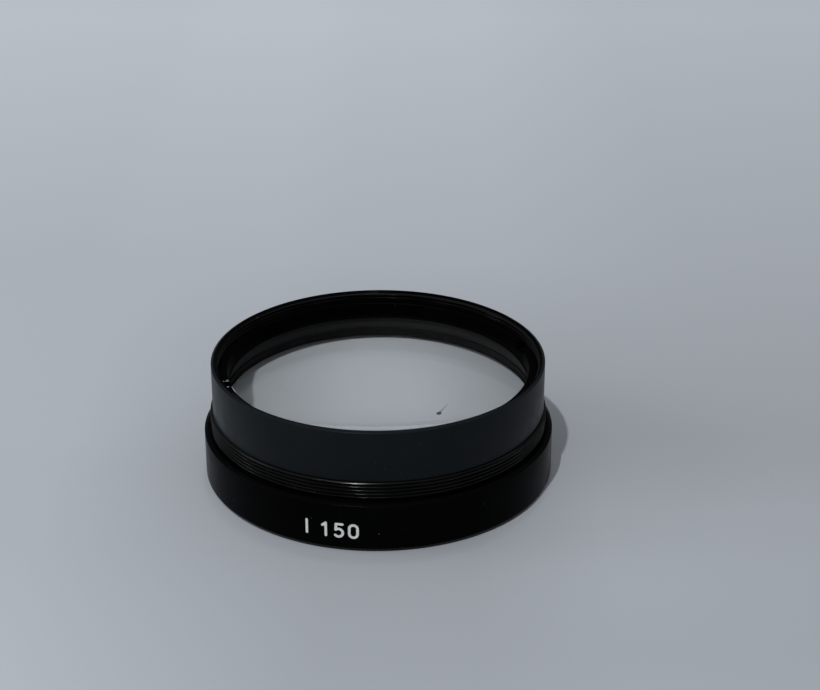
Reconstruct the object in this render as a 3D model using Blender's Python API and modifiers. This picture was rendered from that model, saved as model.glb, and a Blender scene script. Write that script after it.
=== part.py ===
"""Threaded objective lens cell: a cemented doublet held in a turned aluminium mount.

Metres, +Z up. The origin is the centre of the face that the cell stands on, and +Z is the optical
axis. From the bottom up there is a plain flange, a male mounting thread and a smooth pilot sleeve.
Every piece is turned, so each one is a section outline swept round Z by a Screw modifier.
"""

import math

import bmesh
import bpy

MM = 0.001

# Driving dimensions.
HEIGHT = 25.0 * MM
SLEEVE_RADIUS = 34.0 * MM
FLANGE_RADIUS = 35.85 * MM
FLANGE_HEIGHT = 10.4 * MM
THREAD_RADIUS = 34.5 * MM
THREAD_PITCH = 0.75 * MM
THREAD_TURNS = 5
LENS_RADIUS = 31.2 * MM
CLEAR_RADIUS = 30.7 * MM

# Optical prescription, from the top vertex down. Radii are unsigned.
CROWN_TOP_CURVE = 300.0 * MM
CEMENT_CURVE = 180.0 * MM
FLINT_BOTTOM_CURVE = 260.0 * MM
CROWN_TOP = 21.1 * MM
CROWN_THICKNESS = 14.7 * MM
FLINT_BOTTOM = CROWN_TOP - 19.9 * MM
GLASS_BEVEL = 0.4 * MM

# Fits and small features.
GAP = 0.3 * MM
EDGE_CHAMFER = 0.3 * MM
FLANGE_TOP_CHAMFER = 0.7 * MM
FLANGE_BOTTOM_CHAMFER = 0.9 * MM
THREAD_DEPTH_PER_PITCH = 0.6134
THREAD_DEPTH = THREAD_DEPTH_PER_PITCH * THREAD_PITCH
THREAD_CREST_FLAT = THREAD_PITCH / 8
THREAD_LEAD_IN = 0.1 * MM
RELIEF_RADIUS = 33.9 * MM
UNDERCUT = 0.3 * MM

# Heights and radii that follow from the driving dimensions.
NECK_TOP = 14.25 * MM
SHOULDER = NECK_TOP + GAP
FIRST_CREST = NECK_TOP - 0.5 * GAP
SPIGOT_RADIUS = 32.5 * MM
SPIGOT_BOTTOM = 1.9 * MM
SEAT_TOP = 2.9 * MM
SEAT_LAND = 0.2 * MM
MOUTH_RADIUS = 32.2 * MM
HOOD_TOP = SPIGOT_BOTTOM - GAP
HOOD_TOP_RADIUS = MOUTH_RADIUS + GAP
HOOD_BOTTOM_RADIUS = 33.9 * MM
FACE_INNER_RADIUS = THREAD_RADIUS + THREAD_LEAD_IN
LENS_BORE = LENS_RADIUS + GAP
RING_BORE = 32.8 * MM
RING_BORE_BOTTOM = 18.9 * MM
RIM_INNER_RADIUS = RING_BORE + EDGE_CHAMFER

PRESSURE_RING_BOTTOM = 19.65 * MM
PRESSURE_RING_TOP = 20.5 * MM
PRESSURE_RING_INNER = 30.4 * MM
RETAINING_RING_BOTTOM = PRESSURE_RING_TOP + GAP
RETAINING_RING_TOP = HEIGHT - 1.9 * MM
RETAINING_RING_INNER_TOP = 31.0 * MM
RETAINING_RING_INNER_BOTTOM = 30.6 * MM
RING_OUTER = RING_BORE - GAP

SLOT_WIDTH = 3.0 * MM
SLOT_DEPTH = 1.4 * MM
SLOT_ANGLE = math.radians(17.0)

SEGMENTS = 72
LENS_STEPS = 6

# Finishes: colour, roughness, metallic.
FINISHES = {
    "black_anodised": ((0.012, 0.012, 0.013), 0.28, 0.0),
    "blue_grey_anodised": ((0.035, 0.043, 0.050), 0.36, 0.4),
    "matt_black": ((0.010, 0.010, 0.011), 0.55, 0.0),
    "crown_glass": ((0.90, 0.94, 0.96), 0.02, 0.0),
    "flint_glass": ((0.86, 0.91, 0.95), 0.02, 0.0),
}


def clear_scene():
    for obj in list(bpy.data.objects):
        bpy.data.objects.remove(obj, do_unlink=True)


def new_collection(name):
    collection = bpy.data.collections.new(name)
    bpy.context.scene.collection.children.link(collection)
    return collection


def finish_material(name):
    """The Principled material for one of the finishes above."""
    colour, roughness, metallic = FINISHES[name]
    material = bpy.data.materials.new(name)
    material.use_nodes = True
    shader = material.node_tree.nodes["Principled BSDF"]
    shader.inputs["Base Color"].default_value = (*colour, 1.0)
    shader.inputs["Roughness"].default_value = roughness
    shader.inputs["Metallic"].default_value = metallic
    if name.endswith("glass"):
        shader.inputs["Transmission Weight"].default_value = 1.0
    return material


def turned(name, outline, finish, collection, closed=True):
    """A body of revolution. The outline is (radius, height) pairs that run down the outer side first.

    A closed outline makes a ring. An open one starts and ends on the axis, and makes a solid disc.
    """
    mesh = bpy.data.meshes.new(name)
    section = bmesh.new()
    corners = [section.verts.new((radius, 0.0, height)) for radius, height in outline]
    for start, end in zip(corners, corners[1:]):
        section.edges.new((start, end))
    if closed:
        section.edges.new((corners[-1], corners[0]))
    section.to_mesh(mesh)
    section.free()
    mesh.materials.append(finish_material(finish))

    obj = bpy.data.objects.new(name, mesh)
    collection.objects.link(obj)
    sweep = obj.modifiers.new("turn", "SCREW")
    sweep.axis = "Z"
    sweep.angle = math.tau
    sweep.steps = SEGMENTS
    sweep.render_steps = SEGMENTS
    sweep.use_merge_vertices = True
    sweep.merge_threshold = 0.01 * MM
    sweep.use_smooth_shade = True
    return obj


def sag(curve, radius):
    """How far a sphere of this curvature radius falls away from its vertex plane."""
    return curve - math.sqrt(curve * curve - radius * radius)


def dome_radii(outermost):
    """Radii from the axis to the edge of a polished surface."""
    return [outermost * step / LENS_STEPS for step in range(LENS_STEPS + 1)]


def thread_outline():
    """The male thread's section, from its top crest down: sharp V grooves between flat crests."""
    points = []
    half_flat = THREAD_CREST_FLAT / 2
    for turn in range(THREAD_TURNS):
        crest = FIRST_CREST - turn * THREAD_PITCH
        points.append((THREAD_RADIUS, crest + half_flat))
        points.append((THREAD_RADIUS, crest - half_flat))
        if turn < THREAD_TURNS - 1:
            points.append((THREAD_RADIUS - THREAD_DEPTH, crest - THREAD_PITCH / 2))
    return points


def make_mount_ring(collection):
    """Flange, undercut relief groove and threaded neck, with the bore that takes the sleeve's spigot."""
    last_crest = FIRST_CREST - (THREAD_TURNS - 1) * THREAD_PITCH
    spigot_bore = SPIGOT_RADIUS + GAP
    outline = [
        (spigot_bore, NECK_TOP),
        (THREAD_RADIUS - THREAD_LEAD_IN, NECK_TOP),
        *thread_outline(),
        (RELIEF_RADIUS, last_crest - THREAD_DEPTH),
        (RELIEF_RADIUS, FLANGE_HEIGHT - UNDERCUT),
        (FACE_INNER_RADIUS, FLANGE_HEIGHT - UNDERCUT),
        (FACE_INNER_RADIUS, FLANGE_HEIGHT),
        (FLANGE_RADIUS - FLANGE_TOP_CHAMFER, FLANGE_HEIGHT),
        (FLANGE_RADIUS, FLANGE_HEIGHT - FLANGE_TOP_CHAMFER),
        (FLANGE_RADIUS, FLANGE_BOTTOM_CHAMFER),
        (FLANGE_RADIUS - FLANGE_BOTTOM_CHAMFER, 0.0),
        (HOOD_BOTTOM_RADIUS, 0.0),
        (HOOD_TOP_RADIUS, HOOD_TOP),
        (spigot_bore, HOOD_TOP),
    ]
    return turned("mount_ring", outline, "black_anodised", collection)


def make_cell_sleeve(collection):
    """Pilot sleeve and lens cell in one: ring bore at the top, lens bore, seat and flared mouth below it."""
    outline = [
        (RIM_INNER_RADIUS, HEIGHT),
        (SLEEVE_RADIUS - EDGE_CHAMFER, HEIGHT),
        (SLEEVE_RADIUS, HEIGHT - EDGE_CHAMFER),
        (SLEEVE_RADIUS, SHOULDER),
        (SPIGOT_RADIUS, SHOULDER),
        (SPIGOT_RADIUS, SPIGOT_BOTTOM),
        (MOUTH_RADIUS, SPIGOT_BOTTOM),
        (CLEAR_RADIUS, SEAT_TOP - SEAT_LAND),
        (CLEAR_RADIUS, SEAT_TOP),
        (LENS_BORE, SEAT_TOP),
        (LENS_BORE, RING_BORE_BOTTOM),
        (RING_BORE, RING_BORE_BOTTOM),
        (RING_BORE, HEIGHT - EDGE_CHAMFER),
    ]
    return turned("cell_sleeve", outline, "blue_grey_anodised", collection)


def make_crown_lens(collection):
    """Biconvex upper element."""
    cement_vertex = CROWN_TOP - CROWN_THICKNESS
    polished = LENS_RADIUS - GLASS_BEVEL
    top = [(radius, CROWN_TOP - sag(CROWN_TOP_CURVE, radius)) for radius in dome_radii(polished)]
    bottom = [(radius, cement_vertex + sag(CEMENT_CURVE, radius)) for radius in dome_radii(polished)]
    outline = [
        *top,
        (LENS_RADIUS, top[-1][1] - GLASS_BEVEL),
        (LENS_RADIUS, bottom[-1][1] + GLASS_BEVEL),
        *reversed(bottom),
    ]
    return turned("crown_lens", outline, "crown_glass", collection, closed=False)


def make_flint_lens(collection):
    """Meniscus lower element, whose hollow top takes the crown."""
    cement_vertex = CROWN_TOP - CROWN_THICKNESS - GAP
    polished = LENS_RADIUS - GLASS_BEVEL
    top = [(radius, cement_vertex + sag(CEMENT_CURVE, radius)) for radius in dome_radii(polished)]
    bottom = [(radius, FLINT_BOTTOM + sag(FLINT_BOTTOM_CURVE, radius)) for radius in dome_radii(polished)]
    outline = [
        *top,
        (LENS_RADIUS, top[-1][1]),
        (LENS_RADIUS, bottom[-1][1] + GLASS_BEVEL),
        *reversed(bottom),
    ]
    return turned("flint_lens", outline, "flint_glass", collection, closed=False)


def make_pressure_ring(collection):
    """Loose ring between the glass and the screwed ring, so that tightening does not drag on the glass."""
    outline = [
        (PRESSURE_RING_INNER, PRESSURE_RING_TOP),
        (RING_OUTER, PRESSURE_RING_TOP),
        (RING_OUTER, PRESSURE_RING_BOTTOM),
        (PRESSURE_RING_INNER, PRESSURE_RING_BOTTOM),
    ]
    return turned("pressure_ring", outline, "matt_black", collection)


def make_retaining_ring(collection, cutters):
    """Screwed ring that clamps the lens, with two spanner slots across its top face."""
    outline = [
        (RETAINING_RING_INNER_TOP, RETAINING_RING_TOP),
        (RING_OUTER, RETAINING_RING_TOP),
        (RING_OUTER, RETAINING_RING_BOTTOM),
        (RETAINING_RING_INNER_BOTTOM, RETAINING_RING_BOTTOM),
    ]
    ring = turned("retaining_ring", outline, "black_anodised", collection)

    cutter_height = 2 * SLOT_DEPTH
    bpy.ops.mesh.primitive_cube_add(size=1.0)
    cutter = bpy.context.active_object
    cutter.name = "slot_cutter"
    for owner in list(cutter.users_collection):
        owner.objects.unlink(cutter)
    cutters.objects.link(cutter)
    cutter.scale = (2 * SLEEVE_RADIUS, SLOT_WIDTH, cutter_height)
    cutter.location = (0.0, 0.0, RETAINING_RING_TOP)
    cutter.rotation_euler = (0.0, 0.0, SLOT_ANGLE)
    cutter.hide_render = True
    cutter.display_type = "WIRE"

    slots = ring.modifiers.new("spanner slots", "BOOLEAN")
    slots.operation = "DIFFERENCE"
    slots.object = cutter
    return ring


def build():
    clear_scene()
    parts = new_collection("threaded_objective_lens")
    cutters = new_collection("cutters")
    make_mount_ring(parts)
    make_cell_sleeve(parts)
    make_flint_lens(parts)
    make_crown_lens(parts)
    make_pressure_ring(parts)
    make_retaining_ring(parts, cutters)


build()
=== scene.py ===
"""Looks for the threaded objective lens cell: finely turned anodised metal round a coated glass doublet."""

import math

import bmesh
import bpy
import numpy as np
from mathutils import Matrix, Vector


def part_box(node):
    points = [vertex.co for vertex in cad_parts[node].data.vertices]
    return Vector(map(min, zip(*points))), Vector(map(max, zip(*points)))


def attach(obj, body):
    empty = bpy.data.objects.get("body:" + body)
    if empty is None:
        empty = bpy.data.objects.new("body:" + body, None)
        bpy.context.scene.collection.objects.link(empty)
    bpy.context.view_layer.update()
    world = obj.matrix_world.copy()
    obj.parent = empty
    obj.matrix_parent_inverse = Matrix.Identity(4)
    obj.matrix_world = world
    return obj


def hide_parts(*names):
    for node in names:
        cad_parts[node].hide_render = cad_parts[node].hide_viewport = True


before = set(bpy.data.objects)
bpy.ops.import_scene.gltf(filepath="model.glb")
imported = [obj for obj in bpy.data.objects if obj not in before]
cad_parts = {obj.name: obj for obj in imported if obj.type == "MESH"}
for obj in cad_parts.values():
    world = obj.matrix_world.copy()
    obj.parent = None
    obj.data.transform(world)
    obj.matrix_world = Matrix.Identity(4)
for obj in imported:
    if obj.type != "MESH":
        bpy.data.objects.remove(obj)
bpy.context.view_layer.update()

MM = 0.001

# Sizes read from the frame.
RIM_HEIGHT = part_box("cell_sleeve")[1].z
SLEEVE_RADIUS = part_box("cell_sleeve")[1].x
SPIGOT_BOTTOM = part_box("cell_sleeve")[0].z
FLANGE_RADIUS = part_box("mount_ring")[1].x
RING_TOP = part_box("retaining_ring")[1].z
RING_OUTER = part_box("retaining_ring")[1].x
PRESSURE_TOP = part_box("pressure_ring")[1].z
PRESSURE_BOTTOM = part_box("pressure_ring")[0].z
GLASS_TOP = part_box("crown_lens")[1].z
GLASS_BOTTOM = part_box("flint_lens")[0].z
GLASS_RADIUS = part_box("crown_lens")[1].x

# Sizes of the features inside those boxes. Edges, threads and joint lines are finer than the CAD's.
FLANGE_HEIGHT = 10.4 * MM
TOP_CHAMFER_WIDTH = 0.7 * MM
TOP_CHAMFER_HEIGHT = 0.45 * MM
BOTTOM_CHAMFER_WIDTH = 0.4 * MM
BOTTOM_CHAMFER_HEIGHT = 0.8 * MM
RELIEF_RADIUS = 33.9 * MM
UNDERCUT = 0.3 * MM
FACE_INNER_RADIUS = 34.6 * MM
THREAD_RADIUS = 34.5 * MM
THREAD_PITCH = 0.75 * MM
THREAD_DEPTH = 0.6134 * THREAD_PITCH
THREAD_FLAT = 0.125
THREAD_BOTTOM = 10.95 * MM
MALE_CREST = 13.62 * MM
NECK_CHAMFER = 0.25 * MM
SHOULDER = 14.40 * MM
SPIGOT_RADIUS = 32.5 * MM
HOOD_BOTTOM_RADIUS = 33.9 * MM
MOUTH_RADIUS = 32.2 * MM
CLEAR_RADIUS = 31.0 * MM
SEAT_TOP = 2.95 * MM
SEAT_LAND = 0.2 * MM
RING_BORE = 32.6 * MM
RING_BORE_BOTTOM = 18.9 * MM
FEMALE_THREAD_MARGIN = 0.5 * MM
FEMALE_CREST = RIM_HEIGHT - 0.95 * MM
LEAD_IN_RADIUS = 33.2 * MM
RIM_CHAMFER_WIDTH = 0.5 * MM
RIM_CHAMFER_HEIGHT = 0.3 * MM
JOINT_LINE = 0.06 * MM
TOE_RADIUS = 30.4 * MM
TOE_HEIGHT = 0.3 * MM
PRESSURE_BORE = 30.75 * MM
RING_MOUTH = 30.75 * MM
RING_FOOT = 30.45 * MM
RING_BEVEL = 0.2 * MM
SLOT_WIDTH = 3.0 * MM
SLOT_DEPTH = 1.4 * MM
SLOT_ANGLE = math.radians(17.0)

# The glass. Its two cemented elements are one optical body.
CROWN_CURVE = 300.0 * MM
FLINT_CURVE = 260.0 * MM
CEMENT_EDGE = 8.9 * MM
CEMENT_GROOVE = 0.3 * MM
GLASS_BEVEL = 0.4 * MM
GLASS_IOR = 1.60
COATING_IOR = 1.38
COATING_NANOMETRES = 105.0
# Where the painted highlight band on the ground edge is brightest, and where it fades out above.
EDGE_HIGHLIGHT_MIDDLE = 12.8 * MM
EDGE_HIGHLIGHT_TOP = 16.5 * MM

# How the glass gathers lamp light on the floor: its gain at each face, from a middle outwards in X,
# and a factor from the near side to the far side in Y.
GAIN_MIDDLE = (-2.0 * MM, 0, 0)
GAIN_INNER = 6.0 * MM
GAIN_OUTER = 30.0 * MM
LENS_GAIN = 1.28
LENS_GAIN_AT_EDGE = 0.89
GAIN_NEAR_SIDE = -30.0 * MM
GAIN_FAR_SIDE = 25.0 * MM
NEAR_FACTOR = 1.105
FAR_FACTOR = 0.955

# The engraved mark: an index line and a plain number. The figures' own outlines are in millimetres.
MARK_ANGLE = math.radians(-103.6)
MARK_HEIGHT = 4.45 * MM
MARK_HALF_WIDTH = 6.6 * MM
MARK_HALF_HEIGHT = 1.7 * MM
HALF_FIGURE = 1.36
STROKE = 0.52 * MM
ENGRAVING_DEPTH = 0.06 * MM
ENGRAVING_WALL = 0.10 * MM

# Small marks of use: bare metal on the retaining ring, light in colour and on one side only so that it also
# paints a glint there, and one fleck of dust on the glass.
WEAR_GLINT_ANGLE = math.radians(203.7)
WEAR_GLINT_HALF_LENGTH = 3.3 * MM
WEAR_GLINT_WIDTH = 0.22 * MM
WEAR_GLINT_TIP_WIDTH = 0.08 * MM
WEAR_GLINT_TIP = 0.3 * MM
WEAR_GLINT_EDGE = 0.05 * MM
WEAR_GLINT_DEPTH = 0.35 * MM
WEAR_GLINT_DEPTH_EDGE = 0.1 * MM
CHIP_GLINT_INNER = 0.12 * MM
CHIP_GLINT_OUTER = 0.20 * MM
FLECK_PLACE = (12.2 * MM, -17.0 * MM, 0)
FLECK_ANGLE = math.radians(65.0)
FLECK_LENGTH = 5.2 * MM
FLECK_HEAD = 0.75 * MM
FLECK_HEAD_WIDTH = 0.50 * MM
FLECK_TAIL_WIDTH = 0.13 * MM
FLECK_TIP_WIDTH = 0.02 * MM
FLECK_START = 0.1 * MM
FLECK_EDGE = 0.06 * MM
FLECK_COVER = 0.85

# How finely the meshes are cut, how far their edges are rounded, and how near two radii count as one.
SEGMENTS = 360
GLASS_SEGMENTS = 256
GLASS_RINGS = 48
THREAD_ROW = 0.05 * MM
MARK_ROW = 0.065 * MM
EDGE_ROUND = 0.09 * MM
RING_ROUND = 0.05 * MM
SLOT_ROUND = 0.12 * MM
SAME_RADIUS = 0.01 * MM
SHARP_ANGLE = math.radians(38.0)
GLASS_SHARP_ANGLE = math.radians(25.0)

# How fine the textures are, in repeats for each metre, and how deep their relief is.
TINT_SCALE = 90.0
ROUGHNESS_SCALE = 300.0
CHIP_GLINT_SCALE = 700.0
LACQUER_SCALE = 700.0
DUST_SCALE = 2600.0
PAINT_SCALE = 4000.0
LATHE_SCALE = 9000.0
GRAIN_SCALE = 14000.0
RELIEF = 0.01 * MM

FLOOR_HALF_SIZE = 4.0
LIGHT_AIM = (0, 0, 0.01)


# ---------------------------------------------------------------- turned meshes

def soften(outline, radius=EDGE_ROUND, steps=3):
    """Rounds the corners of a closed outline. Points in a straight run stay as they are."""
    straight_limit = -0.9999
    longest_share = 0.4
    rounded = []
    count = len(outline)
    for index, point in enumerate(outline):
        corner = Vector(point)
        before = Vector(outline[index - 1]) - corner
        after = Vector(outline[(index + 1) % count]) - corner
        straight = before.normalized().dot(after.normalized()) < straight_limit
        if straight:
            rounded.append(tuple(corner))
            continue
        reach = min(radius, longest_share * before.length, longest_share * after.length)
        start = corner + before.normalized() * reach
        end = corner + after.normalized() * reach
        for step in range(steps + 1):
            share = step / steps
            rounded.append(tuple(start.lerp(corner, share).lerp(corner.lerp(end, share), share)))
    return rounded


def run(radius, top, bottom, row):
    """Points straight down a wall, about one row apart."""
    count = max(2, round((top - bottom) / row))
    return [(radius, top + (bottom - top) * step / count) for step in range(count + 1)]


def even_angles(count=SEGMENTS):
    return [math.tau * step / count for step in range(count)]


def sweep(name, outline, angles, bend=None):
    """A ring mesh from a closed outline that runs down its outer side. bend moves the grid's radii."""
    radii = np.array([point[0] for point in outline])
    heights = np.array([point[1] for point in outline])
    turn = np.array(angles)
    radius_grid = np.repeat(radii[None, :], len(turn), axis=0)
    height_grid = np.repeat(heights[None, :], len(turn), axis=0)
    angle_grid = np.repeat(turn[:, None], len(radii), axis=1)
    if bend is not None:
        radius_grid = bend(radius_grid, height_grid, angle_grid)
    points = np.stack(
        [radius_grid * np.cos(angle_grid), radius_grid * np.sin(angle_grid), height_grid], axis=-1
    )
    rows = len(outline)
    faces = []
    for column in range(len(turn)):
        here = column * rows
        there = ((column + 1) % len(turn)) * rows
        for row in range(rows):
            below = (row + 1) % rows
            faces.append((here + row, here + below, there + below, there + row))
    mesh = bpy.data.meshes.new(name)
    mesh.from_pydata(points.reshape(-1, 3).tolist(), [], faces)
    mesh.shade_smooth()
    mesh.set_sharp_from_angle(angle=SHARP_ANGLE)
    obj = bpy.data.objects.new(name, mesh)
    bpy.context.scene.collection.objects.link(obj)
    return obj, (radius_grid, height_grid, angle_grid)


def thread_groove(height, angle, start):
    """0 on a crest and 1 in a root of a right-hand thread, whose crest passes start at angle 0."""
    phase = ((height - start) / THREAD_PITCH - angle / math.tau) % 1.0
    from_root = np.abs(phase - 0.5) * 2
    return np.clip((1 - from_root - THREAD_FLAT) / (1 - 2 * THREAD_FLAT), 0, 1)


# ---------------------------------------------------------------- engraved mark

def arc(centre_x, centre_y, radius, start, end, steps=10):
    """Points on an arc, in millimetres, between two angles in degrees."""
    angles = [math.radians(start + (end - start) * step / steps) for step in range(steps + 1)]
    return [(centre_x + radius * math.cos(a), centre_y + radius * math.sin(a)) for a in angles]


def figure_one(x):
    """The strokes of a 1 whose middle is x millimetres along the flange."""
    stem = x + 0.05
    return [[(x - 0.62, 0.80), (stem, HALF_FIGURE), (stem, -HALF_FIGURE)]]


def figure_five(x):
    bowl = arc(x - 0.12, -0.50, 0.86, 112, -138, 14)
    return [[(x + 0.66, HALF_FIGURE), (x - 0.58, HALF_FIGURE), (x - 0.66, 0.10), *bowl]]


def figure_nought(x):
    radius = 0.80
    top = arc(x, HALF_FIGURE - radius, radius, 0, 180)
    bottom = arc(x, radius - HALF_FIGURE, radius, 180, 360)
    return [[*top, *bottom, top[0]]]


def index_line(x):
    return [[(x, HALF_FIGURE), (x, -HALF_FIGURE)]]


MARK = [*index_line(-5.2), *figure_one(-1.35), *figure_five(1.35), *figure_nought(4.15)]


def mark_distance(along, up):
    """Distance in metres from each point to the mark's nearest stroke, less half a stroke."""
    nearest = np.full(along.shape, 1.0)
    for stroke in MARK:
        for (x0, y0), (x1, y1) in zip(stroke, stroke[1:]):
            start = np.array([x0, y0]) * MM
            step = np.array([x1, y1]) * MM - start
            share = ((along - start[0]) * step[0] + (up - start[1]) * step[1]) / (step @ step)
            share = np.clip(share, 0, 1)
            gap = np.hypot(along - start[0] - share * step[0], up - start[1] - share * step[1])
            nearest = np.minimum(nearest, gap)
    return nearest - STROKE / 2


def along_flange(angle):
    """Distance round the flange from the middle of the mark."""
    return FLANGE_RADIUS * ((angle - MARK_ANGLE + math.pi) % math.tau - math.pi)


def marked_angles():
    """Angles round the flange, closer together where the mark is."""
    half = MARK_HALF_WIDTH / FLANGE_RADIUS
    count = round(2 * half * FLANGE_RADIUS / MARK_ROW)
    close = [MARK_ANGLE - half + 2 * half * step / count for step in range(count + 1)]
    rest = math.tau - 2 * half
    wide = [close[-1] + rest * step / SEGMENTS for step in range(1, SEGMENTS)]
    return close + wide


# ---------------------------------------------------------------- metal pieces

def make_mount_ring():
    """Flange, relief groove and neck with the helical male thread, and the engraved mark."""
    neck_top = SHOULDER - JOINT_LINE
    spigot_bore = SPIGOT_RADIUS + JOINT_LINE
    hood_top = SPIGOT_BOTTOM - JOINT_LINE
    mark_top = MARK_HEIGHT + MARK_HALF_HEIGHT
    mark_bottom = MARK_HEIGHT - MARK_HALF_HEIGHT
    outline = [
        (spigot_bore, neck_top),
        (THREAD_RADIUS - NECK_CHAMFER, neck_top),
        *run(THREAD_RADIUS, neck_top - NECK_CHAMFER, THREAD_BOTTOM, THREAD_ROW),
        (RELIEF_RADIUS, THREAD_BOTTOM - THREAD_DEPTH),
        (RELIEF_RADIUS, FLANGE_HEIGHT - UNDERCUT),
        (FACE_INNER_RADIUS, FLANGE_HEIGHT - UNDERCUT),
        (FACE_INNER_RADIUS, FLANGE_HEIGHT),
        (FLANGE_RADIUS - TOP_CHAMFER_WIDTH, FLANGE_HEIGHT),
        (FLANGE_RADIUS, FLANGE_HEIGHT - TOP_CHAMFER_HEIGHT),
        *run(FLANGE_RADIUS, mark_top, mark_bottom, MARK_ROW),
        (FLANGE_RADIUS, BOTTOM_CHAMFER_HEIGHT),
        (FLANGE_RADIUS - BOTTOM_CHAMFER_WIDTH, 0.0),
        (HOOD_BOTTOM_RADIUS, 0.0),
        (MOUTH_RADIUS + JOINT_LINE, hood_top),
        (spigot_bore, hood_top),
    ]

    def bend(radius, height, angle):
        threaded = THREAD_RADIUS - THREAD_DEPTH * thread_groove(height, angle, MALE_CREST)
        in_thread = (height > THREAD_BOTTOM - THREAD_DEPTH) & (radius > RELIEF_RADIUS)
        radius = np.where(in_thread, np.minimum(radius, threaded), radius)
        outside = mark_distance(along_flange(angle), height - MARK_HEIGHT)
        cut = np.clip(0.5 - outside / ENGRAVING_WALL, 0, 1)
        on_wall = (radius > FLANGE_RADIUS - SAME_RADIUS) & (height < FLANGE_HEIGHT)
        return np.where(on_wall, radius - ENGRAVING_DEPTH * cut, radius)

    obj, (radius, height, angle) = sweep("mount_ring_turned", soften(outline), marked_angles(), bend)
    outside = mark_distance(along_flange(angle), height - MARK_HEIGHT) / MM
    outside = np.where(radius > FLANGE_RADIUS - 2 * ENGRAVING_DEPTH, outside, 1.0)
    engraving = obj.data.attributes.new("engraving", "FLOAT", "POINT")
    engraving.data.foreach_set("value", np.minimum(outside, 1.0).astype(np.float32).ravel())
    return obj


def use_slots(obj, chosen):
    """Gives each face the material slot that a function picks from its middle's radius and height."""
    for polygon in obj.data.polygons:
        middle = polygon.center
        polygon.material_index = chosen(math.hypot(middle.x, middle.y), middle.z)


def mount_ring_slot(radius, height):
    """0 for the gloss flange and 1 for the neck with its thread and for the flange's lower chamfer."""
    chamfer_top = 0.95 * BOTTOM_CHAMFER_HEIGHT
    in_chamfer = height < chamfer_top and radius > FLANGE_RADIUS - BOTTOM_CHAMFER_WIDTH
    return int(in_chamfer or height > THREAD_BOTTOM - THREAD_DEPTH)


def sleeve_slot(radius, height):
    """0 for the blue-grey outside, 1 for the black bore and 2 for the female thread."""
    chamfer_start = SLEEVE_RADIUS - 1.1 * RIM_CHAMFER_WIDTH
    thread_top = RIM_HEIGHT - FEMALE_THREAD_MARGIN
    past_root = RING_BORE + THREAD_DEPTH + 0.2 * MM
    if radius > chamfer_start:
        return 0
    in_thread = RING_BORE_BOTTOM < height < thread_top and radius < past_root
    return 2 if in_thread else 1


def make_cell_sleeve():
    """Pilot sleeve with the retaining ring's female thread, the lens bore and the seat."""
    lens_bore = GLASS_RADIUS + JOINT_LINE
    rim_bore = RING_BORE + THREAD_DEPTH
    thread_top = RIM_HEIGHT - FEMALE_THREAD_MARGIN
    thread_bottom = RING_BORE_BOTTOM + FEMALE_THREAD_MARGIN
    outline = [
        (LEAD_IN_RADIUS, RIM_HEIGHT),
        (SLEEVE_RADIUS - RIM_CHAMFER_WIDTH, RIM_HEIGHT),
        (SLEEVE_RADIUS, RIM_HEIGHT - RIM_CHAMFER_HEIGHT),
        (SLEEVE_RADIUS, SHOULDER),
        (SPIGOT_RADIUS, SHOULDER),
        (SPIGOT_RADIUS, SPIGOT_BOTTOM),
        (MOUTH_RADIUS, SPIGOT_BOTTOM),
        (CLEAR_RADIUS, SEAT_TOP - SEAT_LAND),
        (CLEAR_RADIUS, SEAT_TOP),
        (lens_bore, SEAT_TOP),
        (lens_bore, RING_BORE_BOTTOM),
        (rim_bore, RING_BORE_BOTTOM),
        *reversed(run(RING_BORE, thread_top, thread_bottom, THREAD_ROW)),
    ]

    def bend(radius, height, angle):
        threaded = RING_BORE + THREAD_DEPTH * thread_groove(height, angle, FEMALE_CREST)
        above_bore = height > RING_BORE_BOTTOM + 0.6 * FEMALE_THREAD_MARGIN
        inside = (radius < rim_bore - SAME_RADIUS) & above_bore
        return np.where(inside, np.maximum(radius, threaded), radius)

    return sweep("cell_sleeve_turned", soften(outline), even_angles(), bend)[0]


def make_pressure_ring():
    """Loose ring with a low toe round its bore, where it bears on the glass."""
    outline = [
        (PRESSURE_BORE, PRESSURE_TOP),
        (RING_OUTER, PRESSURE_TOP),
        (RING_OUTER, PRESSURE_BOTTOM),
        (TOE_RADIUS, PRESSURE_BOTTOM),
        (TOE_RADIUS, PRESSURE_BOTTOM + TOE_HEIGHT / 2),
        (PRESSURE_BORE, PRESSURE_BOTTOM + TOE_HEIGHT),
    ]
    return sweep("pressure_ring_turned", soften(outline, RING_ROUND), even_angles())[0]


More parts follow.
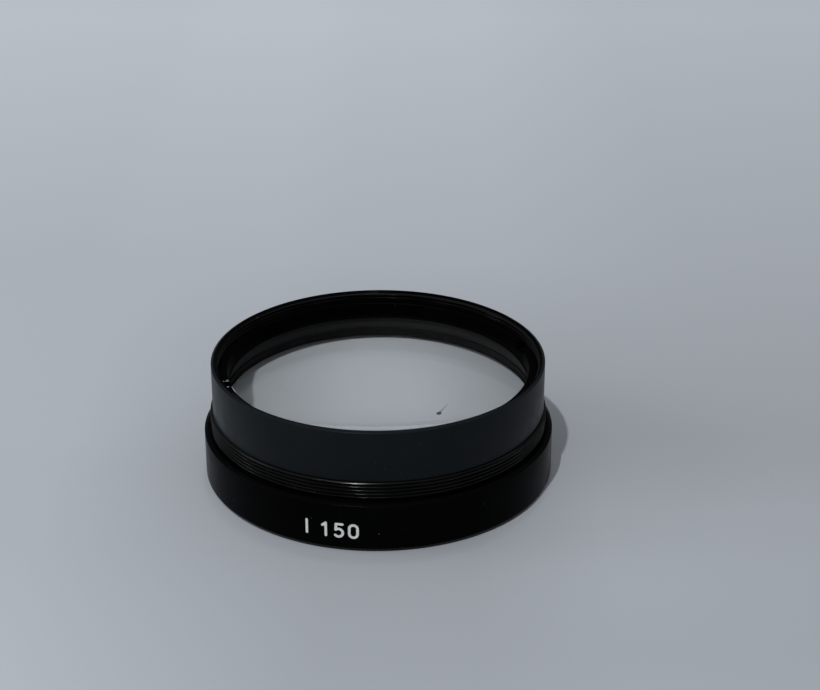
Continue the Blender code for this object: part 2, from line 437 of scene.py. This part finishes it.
def make_retaining_ring():
    """Clamping ring with a chamfered mouth, cut by two opposite spanner slots."""
    bottom = PRESSURE_TOP + JOINT_LINE
    outline = [
        (RING_MOUTH + RING_BEVEL, RING_TOP),
        (RING_OUTER - RING_BEVEL, RING_TOP),
        (RING_OUTER, RING_TOP - RING_BEVEL),
        (RING_OUTER, bottom),
        (RING_FOOT, bottom),
        (RING_MOUTH, RING_TOP - RING_BEVEL),
    ]
    ring = sweep("retaining_ring_turned", soften(outline, RING_ROUND), even_angles())[0]

    past_both_sides = 2.2 * SLEEVE_RADIUS
    slab = bmesh.new()
    bmesh.ops.create_cube(slab, size=1.0)
    bmesh.ops.scale(slab, vec=(past_both_sides, SLOT_WIDTH, 2 * SLOT_DEPTH), verts=slab.verts)
    bmesh.ops.bevel(slab, geom=slab.edges, offset=SLOT_ROUND, segments=2, affect="EDGES")
    mesh = bpy.data.meshes.new("slot_cutter")
    slab.to_mesh(mesh)
    slab.free()
    cutter = bpy.data.objects.new("slot_cutter", mesh)
    bpy.context.scene.collection.objects.link(cutter)
    cutter.location = (0, 0, RING_TOP)
    cutter.rotation_euler = (0, 0, SLOT_ANGLE)
    slots = ring.modifiers.new("spanner slots", "BOOLEAN")
    slots.operation = "DIFFERENCE"
    slots.object = cutter
    bake_modifiers(ring)
    bpy.data.objects.remove(cutter, do_unlink=True)
    ring.data.set_sharp_from_angle(angle=SHARP_ANGLE)
    return ring


def bake_modifiers(obj):
    """Replaces an object's mesh by its evaluated one."""
    bpy.context.view_layer.update()
    evaluated = obj.evaluated_get(bpy.context.evaluated_depsgraph_get())
    mesh = bpy.data.meshes.new_from_object(evaluated)
    obj.modifiers.clear()
    obj.data = mesh
    obj.data.name = obj.name


# ---------------------------------------------------------------- glass

def sag(curve, radius):
    return curve - math.sqrt(curve * curve - radius * radius)


def make_doublet():
    """The cemented pair as one optical body: polished faces, and a ground edge in the second slot."""
    polished = GLASS_RADIUS - GLASS_BEVEL
    radii = [polished * step / GLASS_RINGS for step in range(1, GLASS_RINGS + 1)]
    top = [(radius, GLASS_TOP - sag(CROWN_CURVE, radius)) for radius in radii]
    bottom = [(radius, GLASS_BOTTOM + sag(FLINT_CURVE, radius)) for radius in reversed(radii)]
    edge = [
        (GLASS_RADIUS, top[-1][1] - GLASS_BEVEL),
        (GLASS_RADIUS, CEMENT_EDGE + CEMENT_GROOVE),
        (GLASS_RADIUS - CEMENT_GROOVE, CEMENT_EDGE),
        (GLASS_RADIUS, CEMENT_EDGE - CEMENT_GROOVE),
        (GLASS_RADIUS, bottom[0][1] + GLASS_BEVEL),
    ]
    outline = top + edge + bottom
    rows = len(outline)
    points = [(0, 0, GLASS_TOP), (0, 0, GLASS_BOTTOM)]
    for angle in even_angles(GLASS_SEGMENTS):
        points += [(r * math.cos(angle), r * math.sin(angle), z) for r, z in outline]
    faces = []
    ground = []
    for column in range(GLASS_SEGMENTS):
        here = 2 + column * rows
        there = 2 + ((column + 1) % GLASS_SEGMENTS) * rows
        faces.append((0, here, there))
        ground.append(False)
        for row in range(rows - 1):
            faces.append((here + row, here + row + 1, there + row + 1, there + row))
            ground.append(GLASS_RINGS - 1 <= row < GLASS_RINGS + len(edge))
        faces.append((1, there + rows - 1, here + rows - 1))
        ground.append(False)
    mesh = bpy.data.meshes.new("doublet_glass")
    mesh.from_pydata(points, [], faces)
    mesh.materials.append(coated_glass())
    mesh.materials.append(ground_edge())
    for polygon, is_ground in zip(mesh.polygons, ground):
        polygon.material_index = int(is_ground)
    mesh.shade_smooth()
    mesh.set_sharp_from_angle(angle=GLASS_SHARP_ANGLE)
    obj = bpy.data.objects.new("doublet_glass", mesh)
    bpy.context.scene.collection.objects.link(obj)
    return obj


# ---------------------------------------------------------------- materials

def new_material(name):
    material = bpy.data.materials.new(name)
    material.use_nodes = True
    return material, material.node_tree.nodes, material.node_tree.links


RIGHT = (1, 0, 0)
BACK = (0, 1, 0)
UP = (0, 0, 1)


def from_axis(nodes, links):
    """The point's distance from the object's Z axis."""
    flat = nodes.new("ShaderNodeVectorMath")
    flat.operation = "MULTIPLY"
    links.new(nodes.new("ShaderNodeTexCoord").outputs["Object"], flat.inputs[0])
    flat.inputs[1].default_value = (1, 1, 0)
    length = nodes.new("ShaderNodeVectorMath")
    length.operation = "LENGTH"
    links.new(flat.outputs[0], length.inputs[0])
    return length.outputs["Value"]


def distance_along(nodes, links, direction, origin=(0, 0, 0)):
    """How far the object's point lies along a direction from an origin."""
    offset = nodes.new("ShaderNodeVectorMath")
    offset.operation = "SUBTRACT"
    links.new(nodes.new("ShaderNodeTexCoord").outputs["Object"], offset.inputs[0])
    offset.inputs[1].default_value = origin
    dot = nodes.new("ShaderNodeVectorMath")
    dot.operation = "DOT_PRODUCT"
    links.new(offset.outputs[0], dot.inputs[0])
    dot.inputs[1].default_value = direction
    return dot.outputs["Value"]


def turned_coordinates(nodes, links, scale):
    """Radius and height scaled for lathe lines."""
    join = nodes.new("ShaderNodeCombineXYZ")
    links.new(from_axis(nodes, links), join.inputs["X"])
    links.new(distance_along(nodes, links, UP), join.inputs["Y"])
    grow = nodes.new("ShaderNodeVectorMath")
    grow.operation = "SCALE"
    grow.inputs["Scale"].default_value = scale
    links.new(join.outputs[0], grow.inputs[0])
    return grow.outputs[0]


def noise(nodes, links, scale, detail=2.0, vector=None):
    texture = nodes.new("ShaderNodeTexNoise")
    texture.inputs["Scale"].default_value = scale
    texture.inputs["Detail"].default_value = detail
    if vector is None:
        vector = nodes.new("ShaderNodeTexCoord").outputs["Object"]
    links.new(vector, texture.inputs["Vector"])
    return texture.outputs["Fac"]


def remap(nodes, links, value, low, high, to_low, to_high):
    scale = nodes.new("ShaderNodeMapRange")
    scale.inputs["From Min"].default_value = low
    scale.inputs["From Max"].default_value = high
    scale.inputs["To Min"].default_value = to_low
    scale.inputs["To Max"].default_value = to_high
    links.new(value, scale.inputs["Value"])
    return scale.outputs["Result"]


def mix_colours(nodes, links, share, first, second):
    mix = nodes.new("ShaderNodeMix")
    mix.data_type = "RGBA"
    links.new(share, mix.inputs["Factor"])
    for socket, colour in ((mix.inputs["A"], first), (mix.inputs["B"], second)):
        if isinstance(colour, tuple):
            socket.default_value = (*colour, 1.0)
        else:
            links.new(colour, socket)
    return mix.outputs["Result"]


def multiplied(nodes, links, *values):
    """The product of several values."""
    product = values[0]
    for value in values[1:]:
        multiply = nodes.new("ShaderNodeMath")
        multiply.operation = "MULTIPLY"
        links.new(product, multiply.inputs[0])
        links.new(value, multiply.inputs[1])
        product = multiply.outputs[0]
    return product


def size_of(nodes, links, value):
    """A value without its sign."""
    absolute = nodes.new("ShaderNodeMath")
    absolute.operation = "ABSOLUTE"
    links.new(value, absolute.inputs[0])
    return absolute.outputs[0]


def wear_and_painted_glint(material):
    """Bare metal on the ring's mouth beside one spanner slot, and in chips on that slot's edges: wear in a
    light colour, kept to one side, which also paints the glint there.
    """
    nodes, links = material.node_tree.nodes, material.node_tree.links
    shader = nodes["Principled BSDF"]
    lowest = RING_TOP - WEAR_GLINT_DEPTH
    height = distance_along(nodes, links, UP)
    high = remap(nodes, links, height, lowest, lowest + WEAR_GLINT_DEPTH_EDGE, 0.0, 1.0)

    middle = (math.cos(WEAR_GLINT_ANGLE), math.sin(WEAR_GLINT_ANGLE), 0)
    aside = (-math.sin(WEAR_GLINT_ANGLE), math.cos(WEAR_GLINT_ANGLE), 0)
    facing = remap(nodes, links, distance_along(nodes, links, middle), 0.0, MM, 0.0, 1.0)
    aside_by = size_of(nodes, links, distance_along(nodes, links, aside))
    width = remap(nodes, links, aside_by, 0.0, WEAR_GLINT_HALF_LENGTH, WEAR_GLINT_WIDTH, WEAR_GLINT_TIP_WIDTH)
    from_mouth = nodes.new("ShaderNodeMath")
    from_mouth.operation = "SUBTRACT"
    links.new(from_axis(nodes, links), from_mouth.inputs[0])
    links.new(width, from_mouth.inputs[1])
    beside = remap(nodes, links, from_mouth.outputs[0], RING_MOUTH, RING_MOUTH + WEAR_GLINT_EDGE, 1.0, 0.0)
    tip_start = WEAR_GLINT_HALF_LENGTH - WEAR_GLINT_TIP
    length = remap(nodes, links, aside_by, tip_start, WEAR_GLINT_HALF_LENGTH, 1.0, 0.0)
    mouth = multiplied(nodes, links, high, beside, facing, length)

    across = (-math.sin(SLOT_ANGLE), math.cos(SLOT_ANGLE), 0)
    from_middle = size_of(nodes, links, distance_along(nodes, links, across))
    chip_start = SLOT_WIDTH / 2 + CHIP_GLINT_INNER
    chip_end = SLOT_WIDTH / 2 + CHIP_GLINT_OUTER
    inside = remap(nodes, links, from_middle, chip_start, chip_end, 1.0, 0.0)
    chipped_glint = remap(nodes, links, noise(nodes, links, CHIP_GLINT_SCALE), 0.50, 0.56, 0.0, 1.0)
    slot = multiplied(nodes, links, high, inside, chipped_glint, facing)

    wear_glint_share = nodes.new("ShaderNodeMath")
    wear_glint_share.operation = "MAXIMUM"
    links.new(mouth, wear_glint_share.inputs[0])
    links.new(slot, wear_glint_share.inputs[1])
    # Painted glint: a light colour for the bare metal, on one side of the ring only.
    bare_metal_glint = (0.75, 0.76, 0.77)
    dyed = shader.inputs["Base Color"].links[0].from_socket
    colour = mix_colours(nodes, links, wear_glint_share.outputs[0], dyed, bare_metal_glint)
    links.new(colour, shader.inputs["Base Color"])
    return material


def white_paint(nodes, links, colour):
    """Patchy white paint over a colour, where the mesh says that the mark is engraved."""
    edge = nodes.new("ShaderNodeAttribute")
    edge.attribute_name = "engraving"
    paint = remap(nodes, links, edge.outputs["Fac"], -0.03, 0.03, 1.0, 0.0)
    patchy = remap(nodes, links, noise(nodes, links, PAINT_SCALE), 0.3, 0.7, 0.0, 1.0)
    white = mix_colours(nodes, links, patchy, (0.50, 0.51, 0.51), (0.78, 0.79, 0.78))
    return mix_colours(nodes, links, paint, colour, white)


def relief(nodes, links, height, strength, below=None):
    """A bumped normal from a height, over another bumped normal if there is one."""
    bump = nodes.new("ShaderNodeBump")
    bump.inputs["Strength"].default_value = strength
    bump.inputs["Distance"].default_value = RELIEF
    links.new(height, bump.inputs["Height"])
    if below is not None:
        links.new(below, bump.inputs["Normal"])
    return bump.outputs["Normal"]


def anodised(name, dark, light, gloss, roughness, line_bump, grain_bump, engraved=False):
    """Dyed anodised aluminium: lathe lines, fine grain, slow tint change and a few specks of dust."""
    material, nodes, links = new_material(name)
    shader = nodes["Principled BSDF"]
    shader.inputs["Specular IOR Level"].default_value = gloss
    shader.inputs["Anisotropic"].default_value = 0.5

    tint = remap(nodes, links, noise(nodes, links, TINT_SCALE, 3.0), 0.3, 0.7, 0.0, 1.0)
    colour = mix_colours(nodes, links, tint, dark, light)
    dust = remap(nodes, links, noise(nodes, links, DUST_SCALE, 1.0), 0.80, 0.84, 0.0, 0.5)
    colour = mix_colours(nodes, links, dust, colour, (0.30, 0.32, 0.34))
    if engraved:
        colour = white_paint(nodes, links, colour)
    links.new(colour, shader.inputs["Base Color"])

    smoothest = roughness - 0.05
    roughest = roughness + 0.05
    wandering = noise(nodes, links, ROUGHNESS_SCALE, 4.0)
    rough = remap(nodes, links, wandering, 0.25, 0.75, smoothest, roughest)
    links.new(rough, shader.inputs["Roughness"])

    lines = noise(nodes, links, 1.0, 2.0, turned_coordinates(nodes, links, LATHE_SCALE))
    turned = relief(nodes, links, lines, line_bump)
    grain = noise(nodes, links, GRAIN_SCALE)
    links.new(relief(nodes, links, grain, grain_bump, turned), shader.inputs["Normal"])

    tangent = nodes.new("ShaderNodeTangent")
    tangent.direction_type = "RADIAL"
    tangent.axis = "Z"
    links.new(tangent.outputs["Tangent"], shader.inputs["Tangent"])
    return material


def gloss_black():
    """The flange, with the engraved mark's white paint."""
    return anodised(
        "gloss_black",
        dark=(0.0006, 0.0006, 0.0007),
        light=(0.0011, 0.0011, 0.0012),
        gloss=0.02,
        roughness=0.24,
        line_bump=0.10,
        grain_bump=0.05,
        engraved=True,
    )


def thread_black():
    """The neck, the threads and the flange's lower chamfer, in a lighter colour than the flange that paints
    a brighter sheen on the thread crests and a lighter band on the chamfer.
    """
    return anodised(
        "thread_black",
        # Painted sheen: these colours are lighter than the flange's.
        dark=(0.0014, 0.0014, 0.0015),
        light=(0.0032, 0.0032, 0.0033),
        gloss=0.11,
        roughness=0.20,
        line_bump=0.10,
        grain_bump=0.05,
    )


def blue_grey():
    """The sleeve's satin outside."""
    return anodised(
        "blue_grey",
        dark=(0.0045, 0.0062, 0.0077),
        light=(0.0060, 0.0080, 0.0098),
        gloss=0.08,
        roughness=0.32,
        line_bump=0.15,
        grain_bump=0.15,
    )


def bore_black():
    """The sleeve's bore, seat and lead-in."""
    return anodised(
        "bore_black",
        dark=(0.0006, 0.0006, 0.0007),
        light=(0.0012, 0.0012, 0.0013),
        gloss=0.02,
        roughness=0.25,
        line_bump=0.15,
        grain_bump=0.10,
    )


def matt_black():
    """The pressure ring."""
    return anodised(
        "matt_black",
        dark=(0.0005, 0.0005, 0.0006),
        light=(0.0010, 0.0010, 0.0011),
        gloss=0.03,
        roughness=0.38,
        line_bump=0.15,
        grain_bump=0.10,
    )


def worn_black_glint():
    """The retaining ring, bare where a spanner has slipped, with that light bare metal also painting a
    glint.
    """
    black = anodised(
        "worn_black_glint",
        dark=(0.0004, 0.0004, 0.0005),
        light=(0.0008, 0.0008, 0.0009),
        gloss=0.01,
        roughness=0.40,
        line_bump=0.15,
        grain_bump=0.10,
    )
    return wear_and_painted_glint(black)


def dust_fleck(nodes, links):
    """How far the upper face is covered by a small fibre with a thick head."""
    along_way = (math.cos(FLECK_ANGLE), math.sin(FLECK_ANGLE), 0)
    across_way = (-math.sin(FLECK_ANGLE), math.cos(FLECK_ANGLE), 0)
    along = distance_along(nodes, links, along_way, FLECK_PLACE)
    across = size_of(nodes, links, distance_along(nodes, links, across_way, FLECK_PLACE))
    from_head = size_of(nodes, links, along)
    head = remap(nodes, links, from_head, FLECK_HEAD / 2, FLECK_HEAD, FLECK_HEAD_WIDTH, 0.0)
    tail = remap(nodes, links, along, 0.0, FLECK_LENGTH, FLECK_TAIL_WIDTH, FLECK_TIP_WIDTH)
    behind = remap(nodes, links, along, -FLECK_START, 0.0, 0.0, 1.0)
    ended = remap(nodes, links, along, 0.8 * FLECK_LENGTH, FLECK_LENGTH, 1.0, 0.0)
    width = nodes.new("ShaderNodeMath")
    width.operation = "MAXIMUM"
    links.new(head, width.inputs[0])
    links.new(multiplied(nodes, links, tail, behind, ended), width.inputs[1])
    margin = nodes.new("ShaderNodeMath")
    margin.operation = "SUBTRACT"
    links.new(width.outputs[0], margin.inputs[0])
    links.new(across, margin.inputs[1])
    covered = remap(nodes, links, margin.outputs[0], 0.0, FLECK_EDGE, 0.0, FLECK_COVER)
    half_way = (GLASS_TOP + GLASS_BOTTOM) / 2
    height = distance_along(nodes, links, UP)
    upper = remap(nodes, links, height, half_way, half_way + MM, 0.0, 1.0)
    return multiplied(nodes, links, covered, upper)


def mix_shaders(nodes, links, share, first, second):
    mix = nodes.new("ShaderNodeMixShader")
    links.new(share, mix.inputs["Fac"])
    links.new(first, mix.inputs[1])
    links.new(second, mix.inputs[2])
    return mix.outputs["Shader"]


def gathering(nodes, links):
    """How much stronger lamp light is where a glass face passes it on."""
    off_axis = size_of(nodes, links, distance_along(nodes, links, RIGHT, GAIN_MIDDLE))
    gain = remap(nodes, links, off_axis, GAIN_INNER, GAIN_OUTER, LENS_GAIN, LENS_GAIN_AT_EDGE)
    to_back = distance_along(nodes, links, BACK)
    sides = remap(nodes, links, to_back, GAIN_NEAR_SIDE, GAIN_FAR_SIDE, NEAR_FACTOR, FAR_FACTOR)
    return multiplied(nodes, links, gain, sides)


def coated_glass():
    """Clear optical glass with a quarter-wave coating. Shadow rays and diffuse rays cross it straight."""
    material, nodes, links = new_material("coated_glass")
    shader = nodes["Principled BSDF"]
    shader.inputs["Base Color"].default_value = (0.985, 0.985, 0.965, 1.0)
    shader.inputs["Roughness"].default_value = 0.0
    shader.inputs["IOR"].default_value = GLASS_IOR
    shader.inputs["Transmission Weight"].default_value = 1.0
    shader.inputs["Thin Film Thickness"].default_value = COATING_NANOMETRES
    shader.inputs["Thin Film IOR"].default_value = COATING_IOR
    dust = nodes.new("ShaderNodeBsdfDiffuse")
    dust.inputs["Color"].default_value = (0.03, 0.03, 0.035, 1.0)
    straight = nodes.new("ShaderNodeBsdfTransparent")
    straight.inputs["Color"].default_value = (0.95, 0.96, 0.965, 1.0)
    gathered = nodes.new("ShaderNodeBsdfTransparent")
    links.new(gathering(nodes, links), gathered.inputs["Color"])

    path = nodes.new("ShaderNodeLightPath")
    fleck = dust_fleck(nodes, links)
    seen = mix_shaders(nodes, links, fleck, shader.outputs["BSDF"], dust.outputs["BSDF"])
    diffuse_ray = path.outputs["Is Diffuse Ray"]
    bounced = mix_shaders(nodes, links, diffuse_ray, seen, straight.outputs["BSDF"])
    shadow_ray = path.outputs["Is Shadow Ray"]
    surface = mix_shaders(nodes, links, shadow_ray, bounced, gathered.outputs["BSDF"])
    links.new(surface, nodes["Material Output"].inputs["Surface"])
    return material


def ground_edge():
    """Ground glass edge under black lacquer, brushed on in rings, with a painted highlight: a lighter band
    half way up the glass.
    """
    material, nodes, links = new_material("ground_edge")
    shader = nodes["Principled BSDF"]
    height = distance_along(nodes, links, UP)
    # Painted highlight: the lacquer's colour turns lighter in a band half way up the edge.
    below = remap(nodes, links, height, CEMENT_EDGE, EDGE_HIGHLIGHT_MIDDLE, 0.0, 1.0)
    above = remap(nodes, links, height, EDGE_HIGHLIGHT_MIDDLE, EDGE_HIGHLIGHT_TOP, 1.0, 0.0)
    highlight_band = multiplied(nodes, links, below, above)
    rings = noise(nodes, links, 1.0, 1.0, turned_coordinates(nodes, links, LACQUER_SCALE))
    mottle = remap(nodes, links, rings, 0.38, 0.62, 0.0, 1.0)
    lacquer = mix_colours(nodes, links, mottle, (0.0006, 0.0006, 0.0007), (0.0050, 0.0050, 0.0053))
    highlight_colour = mix_colours(nodes, links, mottle, (0.0090, 0.0092, 0.0095), (0.0170, 0.0173, 0.0178))
    links.new(mix_colours(nodes, links, highlight_band, lacquer, highlight_colour), shader.inputs["Base Color"])
    shader.inputs["Specular IOR Level"].default_value = 0.05
    shader.inputs["Roughness"].default_value = 0.5
    return material


def tinted(nodes, links, share, colour, gain):
    """Multiplies a colour by a gain, by a share of 0 to 1."""
    mix = nodes.new("ShaderNodeMix")
    mix.data_type = "RGBA"
    mix.blend_type = "MULTIPLY"
    links.new(share, mix.inputs["Factor"])
    links.new(colour, mix.inputs["A"])
    mix.inputs["B"].default_value = (gain, gain, gain, 1.0)
    return mix.outputs["Result"]


def floor_material():
    """Plain pale matt floor with painted light: lighter towards the back and in soft patches round the
    lens.
    """
    material, nodes, links = new_material("pale_floor")
    shader = nodes["Principled BSDF"]
    x = distance_along(nodes, links, RIGHT)
    y = distance_along(nodes, links, BACK)

    def fade(place, start, end, at_start=0.0, at_end=1.0):
        """A soft step between two places, in metres from the lens."""
        return remap(nodes, links, place, start, end, at_start, at_end)

    def painted_light_patch(under, gain, *shares):
        """The colour under a patch of painted light, times a gain where all its shares are 1."""
        return tinted(nodes, links, multiplied(nodes, links, *shares), under, gain)

    # Painted light: the floor's colour is lighter towards the back and in the soft patches below, which
    # stand in for light falling unevenly on it.
    back = fade(y, 0.0, 0.35)
    colour = mix_colours(nodes, links, back, (0.335, 0.355, 0.385), (0.545, 0.575, 0.62))

    left = fade(x, -0.010, -0.067)
    left_depth = fade(y, 0.01, 0.11, 1.0, 0.25)
    colour = painted_light_patch(colour, 1.27, left, left_depth)

    front = fade(y, -0.035, -0.085)
    colour = painted_light_patch(colour, 1.08, front)

    right_start = fade(x, 0.018, 0.045)
    right_end = fade(x, 0.055, 0.090, 1.0, 0.6)
    right_back = fade(y, 0.012, -0.020)
    right_front = fade(y, -0.040, -0.070, 1.0, 0.35)
    colour = painted_light_patch(colour, 1.16, right_start, right_end, right_back, right_front)

    behind = fade(y, 0.060, 0.110)
    central = fade(size_of(nodes, links, x), 0.030, 0.080, 1.0, 0.2)
    colour = painted_light_patch(colour, 1.09, behind, central)

    links.new(colour, shader.inputs["Base Color"])
    shader.inputs["Roughness"].default_value = 0.6
    shader.inputs["Specular IOR Level"].default_value = 0.3
    return material


# ---------------------------------------------------------------- stage

def add_floor():
    mesh = bpy.data.meshes.new("floor")
    grid = bmesh.new()
    bmesh.ops.create_grid(grid, x_segments=2, y_segments=2, size=FLOOR_HALF_SIZE)
    grid.to_mesh(mesh)
    grid.free()
    mesh.materials.append(floor_material())
    floor = bpy.data.objects.new("floor", mesh)
    bpy.context.scene.collection.objects.link(floor)


def add_area(name, place, size, power, colour=(1.0, 1.0, 1.0)):
    """A round or oval lamp that faces the lens."""
    light = bpy.data.lights.new(name, "AREA")
    light.shape = "ELLIPSE"
    light.size, light.size_y = size
    light.energy = power
    light.color = colour
    obj = bpy.data.objects.new(name, light)
    obj.location = place
    facing = Vector(LIGHT_AIM) - Vector(place)
    obj.rotation_euler = facing.to_track_quat("-Z", "Y").to_euler()
    bpy.context.scene.collection.objects.link(obj)


def add_lights():
    """A small key from high on the front left, a low soft lamp on the left and a weak one overhead."""
    cool = (0.95, 0.975, 1.0)
    add_area("key", place=(-0.628, -1.560, 2.480), size=(0.07, 0.07), power=45.0)
    add_area("left", place=(-0.50, 0.0, 0.30), size=(0.3, 0.2), power=0.5, colour=cool)
    add_area("ceiling", place=(0.03, 0.26, 1.20), size=(0.12, 0.12), power=1.0)


def add_room():
    """An even room, darker towards the back."""
    world = bpy.data.worlds.new("room")
    world.use_nodes = True
    nodes = world.node_tree.nodes
    links = world.node_tree.links
    split = nodes.new("ShaderNodeSeparateXYZ")
    links.new(nodes.new("ShaderNodeTexCoord").outputs["Generated"], split.inputs[0])
    front_strength = 0.47
    back_strength = 0.12
    strength = remap(nodes, links, split.outputs["Y"], 0.3, 0.8, front_strength, back_strength)
    background = nodes["Background"]
    background.inputs["Color"].default_value = (0.93, 0.97, 1.0, 1.0)
    links.new(strength, background.inputs["Strength"])
    bpy.context.scene.world = world


def add_camera():
    """Long lens, about 40 cm away and 25 degrees above the floor."""
    camera = bpy.data.cameras.new("camera")
    camera.sensor_fit = "HORIZONTAL"
    camera.sensor_width = 36.0
    camera.lens = 83.4
    camera.clip_start = 0.01
    camera.clip_end = 20.0
    obj = bpy.data.objects.new("camera", camera)
    obj.location = (6.5 * MM, -350.0 * MM, 190.4 * MM)
    obj.rotation_euler = (math.radians(65.01), 0.0, 0.0)
    bpy.context.scene.collection.objects.link(obj)
    bpy.context.scene.camera = obj


# ---------------------------------------------------------------- assembly

def finish_piece(piece, body, nodes, materials=()):
    """Gives a piece its materials, and says which body and CAD nodes it stands for."""
    for material in materials:
        piece.data.materials.append(material)
    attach(piece, body)
    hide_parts(*nodes)


def main():
    bpy.context.scene.view_settings.view_transform = "Standard"
    add_camera()
    add_floor()
    add_lights()
    add_room()
    threads = thread_black()
    mount_ring = make_mount_ring()
    finish_piece(mount_ring, "cell", ["mount_ring"], (gloss_black(), threads))
    use_slots(mount_ring, mount_ring_slot)
    sleeve = make_cell_sleeve()
    sleeve_materials = (blue_grey(), bore_black(), threads)
    finish_piece(sleeve, "cell", ["cell_sleeve"], sleeve_materials)
    use_slots(sleeve, sleeve_slot)
    finish_piece(make_doublet(), "cell", ["crown_lens", "flint_lens"])
    finish_piece(make_pressure_ring(), "pressure_ring", ["pressure_ring"], (matt_black(),))
    ring = make_retaining_ring()
    finish_piece(ring, "retaining_ring", ["retaining_ring"], (worn_black_glint(),))


main()
